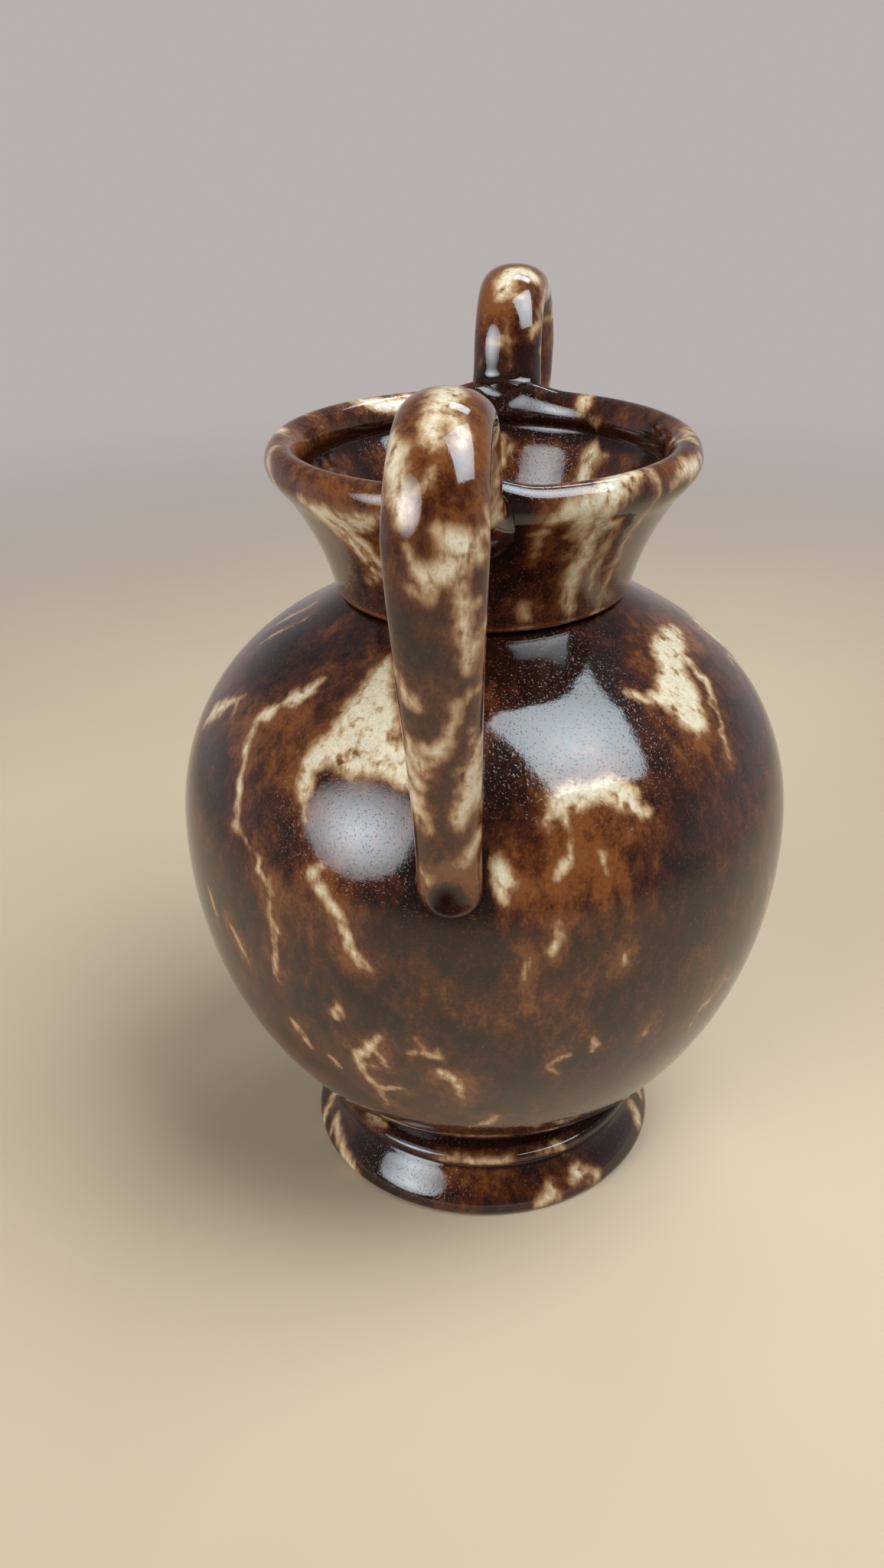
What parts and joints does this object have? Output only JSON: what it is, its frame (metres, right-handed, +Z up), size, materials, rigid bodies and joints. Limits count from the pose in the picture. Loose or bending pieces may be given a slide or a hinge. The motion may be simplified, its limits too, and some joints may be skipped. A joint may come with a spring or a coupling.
{
  "type": "handled vase",
  "caption": "Round-bellied ceramic vase on a flared foot ring, with a flaring collar neck, rolled lip and arched strap handles from lip to belly, in a mottled tortoiseshell glaze.",
  "frame": {"origin": "centre of the foot ring's underside, on the surface that the vase stands on", "axes": "+Z up along the vase's turning axis, the right handle towards +X and the left handle towards -X"},
  "size_m": [0.149, 0.12, 0.1751],
  "materials": {
    "belly_glaze": "high-gloss brown glaze with cream veins",
    "collar_glaze": "high-gloss brown glaze with cream streaks",
    "foot_glaze": "high-gloss dark brown glaze with cream spots",
    "handle_glaze": "high-gloss amber-brown glaze with cream patches"
  },
  "bodies": {
    "root": {"belly": "belly_glaze", "neck_collar": "collar_glaze", "foot_ring": "foot_glaze", "right_handle": "handle_glaze", "left_handle": "handle_glaze"}
  },
  "joints": []
}
